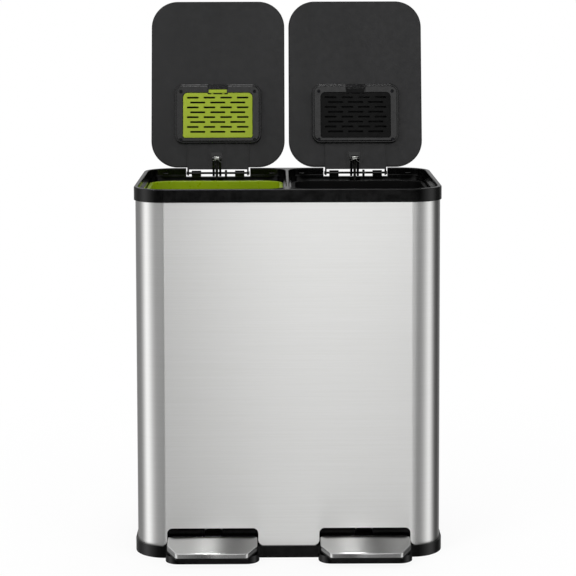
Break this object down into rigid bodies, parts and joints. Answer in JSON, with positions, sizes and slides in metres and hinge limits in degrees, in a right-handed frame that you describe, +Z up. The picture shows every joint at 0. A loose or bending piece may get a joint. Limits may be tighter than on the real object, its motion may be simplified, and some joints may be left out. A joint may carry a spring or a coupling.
{
  "type": "double recycling bin",
  "caption": "Free-standing steel double bin with two open lids, a pedal under each, slotted deodoriser covers and lift-out buckets.",
  "frame": {"origin": "centre of the carcass on the floor, on the underside of the base tray", "axes": "+Z up, -Y to the front where the pedals are, +X to the user's right"},
  "size_m": [0.517, 0.4419, 0.9212],
  "materials": {
    "brushed_steel": "brushed stainless sheet",
    "pedal_steel": "fine brushed pressed stainless",
    "rim_black": "gloss moulded",
    "base_black": "satin moulded",
    "lid_black": "fine-grained moulded",
    "rubber_black": "moulded rubber",
    "zinc_steel": "bright zinc plated",
    "screw_black": "black zinc plated",
    "pad_charcoal": "charcoal felt",
    "green_plastic": "satin moulded",
    "bucket_black": "satin moulded"
  },
  "bodies": {
    "carcass": {"body_shell": "brushed_steel", "top_rim": "rim_black", "base_tray": "base_black", "base_pads": "rubber_black", "pedal_shroud_left": "base_black", "hinge_pin_left": "zinc_steel", "pedal_axle_left": "zinc_steel", "pedal_shroud_right": "base_black", "hinge_pin_right": "zinc_steel", "pedal_axle_right": "zinc_steel"},
    "lid_left": {"lid_body_left": "lid_black", "lid_skin_left": "brushed_steel", "lid_liner_left": "lid_black", "lift_lever_left": "lid_black", "lever_pin_left": "zinc_steel", "filter_housing_left": "lid_black", "filter_pad_left": "pad_charcoal", "housing_screws_left": "screw_black"},
    "grille_left": {"filter_grille_left": "green_plastic"},
    "rod_left": {"lift_rod_left": "zinc_steel", "rod_collars_left": "zinc_steel"},
    "pedal_left": {"pedal_cap_left": "pedal_steel", "pedal_core_left": "base_black", "pedal_lever_left": "zinc_steel", "pedal_screws_left": "screw_black"},
    "inner_bucket_left": {"bucket_left": "green_plastic"},
    "lid_right": {"lid_body_right": "lid_black", "lid_skin_right": "brushed_steel", "lid_liner_right": "lid_black", "lift_lever_right": "lid_black", "lever_pin_right": "zinc_steel", "filter_housing_right": "lid_black", "filter_pad_right": "pad_charcoal", "housing_screws_right": "screw_black"},
    "grille_right": {"filter_grille_right": "bucket_black"},
    "rod_right": {"lift_rod_right": "zinc_steel", "rod_collars_right": "zinc_steel"},
    "pedal_right": {"pedal_cap_right": "pedal_steel", "pedal_core_right": "base_black", "pedal_lever_right": "zinc_steel", "pedal_screws_right": "screw_black"},
    "inner_bucket_right": {"bucket_right": "bucket_black"}
  },
  "joints": [
    {"name": "lid_hinge_left", "type": "hinge", "parent": "carcass", "child": "lid_left", "pos_m": [-0.1256, 0.157, 0.6095], "axis": [-1, 0, 0], "range_deg": [-99, 0]},
    {"name": "rod_swing_left", "type": "hinge", "parent": "lid_left", "child": "rod_left", "pos_m": [-0.1276, 0.14807, 0.63623], "axis": [-1, 0, 0], "range_deg": [0, 97]},
    {"name": "pedal_tip_left", "type": "hinge", "parent": "carcass", "child": "pedal_left", "pos_m": [-0.127, -0.105, 0.03], "axis": [1, 0, 0], "range_deg": [-8.8, 0]},
    {"name": "grille_door_left", "type": "hinge", "parent": "lid_left", "child": "grille_left", "pos_m": [-0.1256, 0.15108, 0.67949], "axis": [-1, 0, 0], "range_deg": [-75, 0]},
    {"name": "bucket_lift_left", "type": "slide", "parent": "carcass", "child": "inner_bucket_left", "axis": [0, 0, 1], "range_m": [0, 0.56]},
    {"name": "lid_hinge_right", "type": "hinge", "parent": "carcass", "child": "lid_right", "pos_m": [0.1256, 0.157, 0.6095], "axis": [-1, 0, 0], "range_deg": [-99, 0]},
    {"name": "rod_swing_right", "type": "hinge", "parent": "lid_right", "child": "rod_right", "pos_m": [0.1236, 0.14807, 0.63623], "axis": [-1, 0, 0], "range_deg": [0, 97]},
    {"name": "pedal_tip_right", "type": "hinge", "parent": "carcass", "child": "pedal_right", "pos_m": [0.127, -0.105, 0.03], "axis": [1, 0, 0], "range_deg": [-8.8, 0]},
    {"name": "grille_door_right", "type": "hinge", "parent": "lid_right", "child": "grille_right", "pos_m": [0.1256, 0.15108, 0.67949], "axis": [-1, 0, 0], "range_deg": [-75, 0]},
    {"name": "bucket_lift_right", "type": "slide", "parent": "carcass", "child": "inner_bucket_right", "axis": [0, 0, 1], "range_m": [0, 0.56]}
  ],
  "couplings": [
    {"joint": "rod_swing_left", "follows": "lid_hinge_left", "ratio": -0.97778},
    {"joint": "pedal_tip_left", "follows": "lid_hinge_left", "ratio": 0.088889},
    {"joint": "rod_swing_right", "follows": "lid_hinge_right", "ratio": -0.97778},
    {"joint": "pedal_tip_right", "follows": "lid_hinge_right", "ratio": 0.088889}
  ]
}
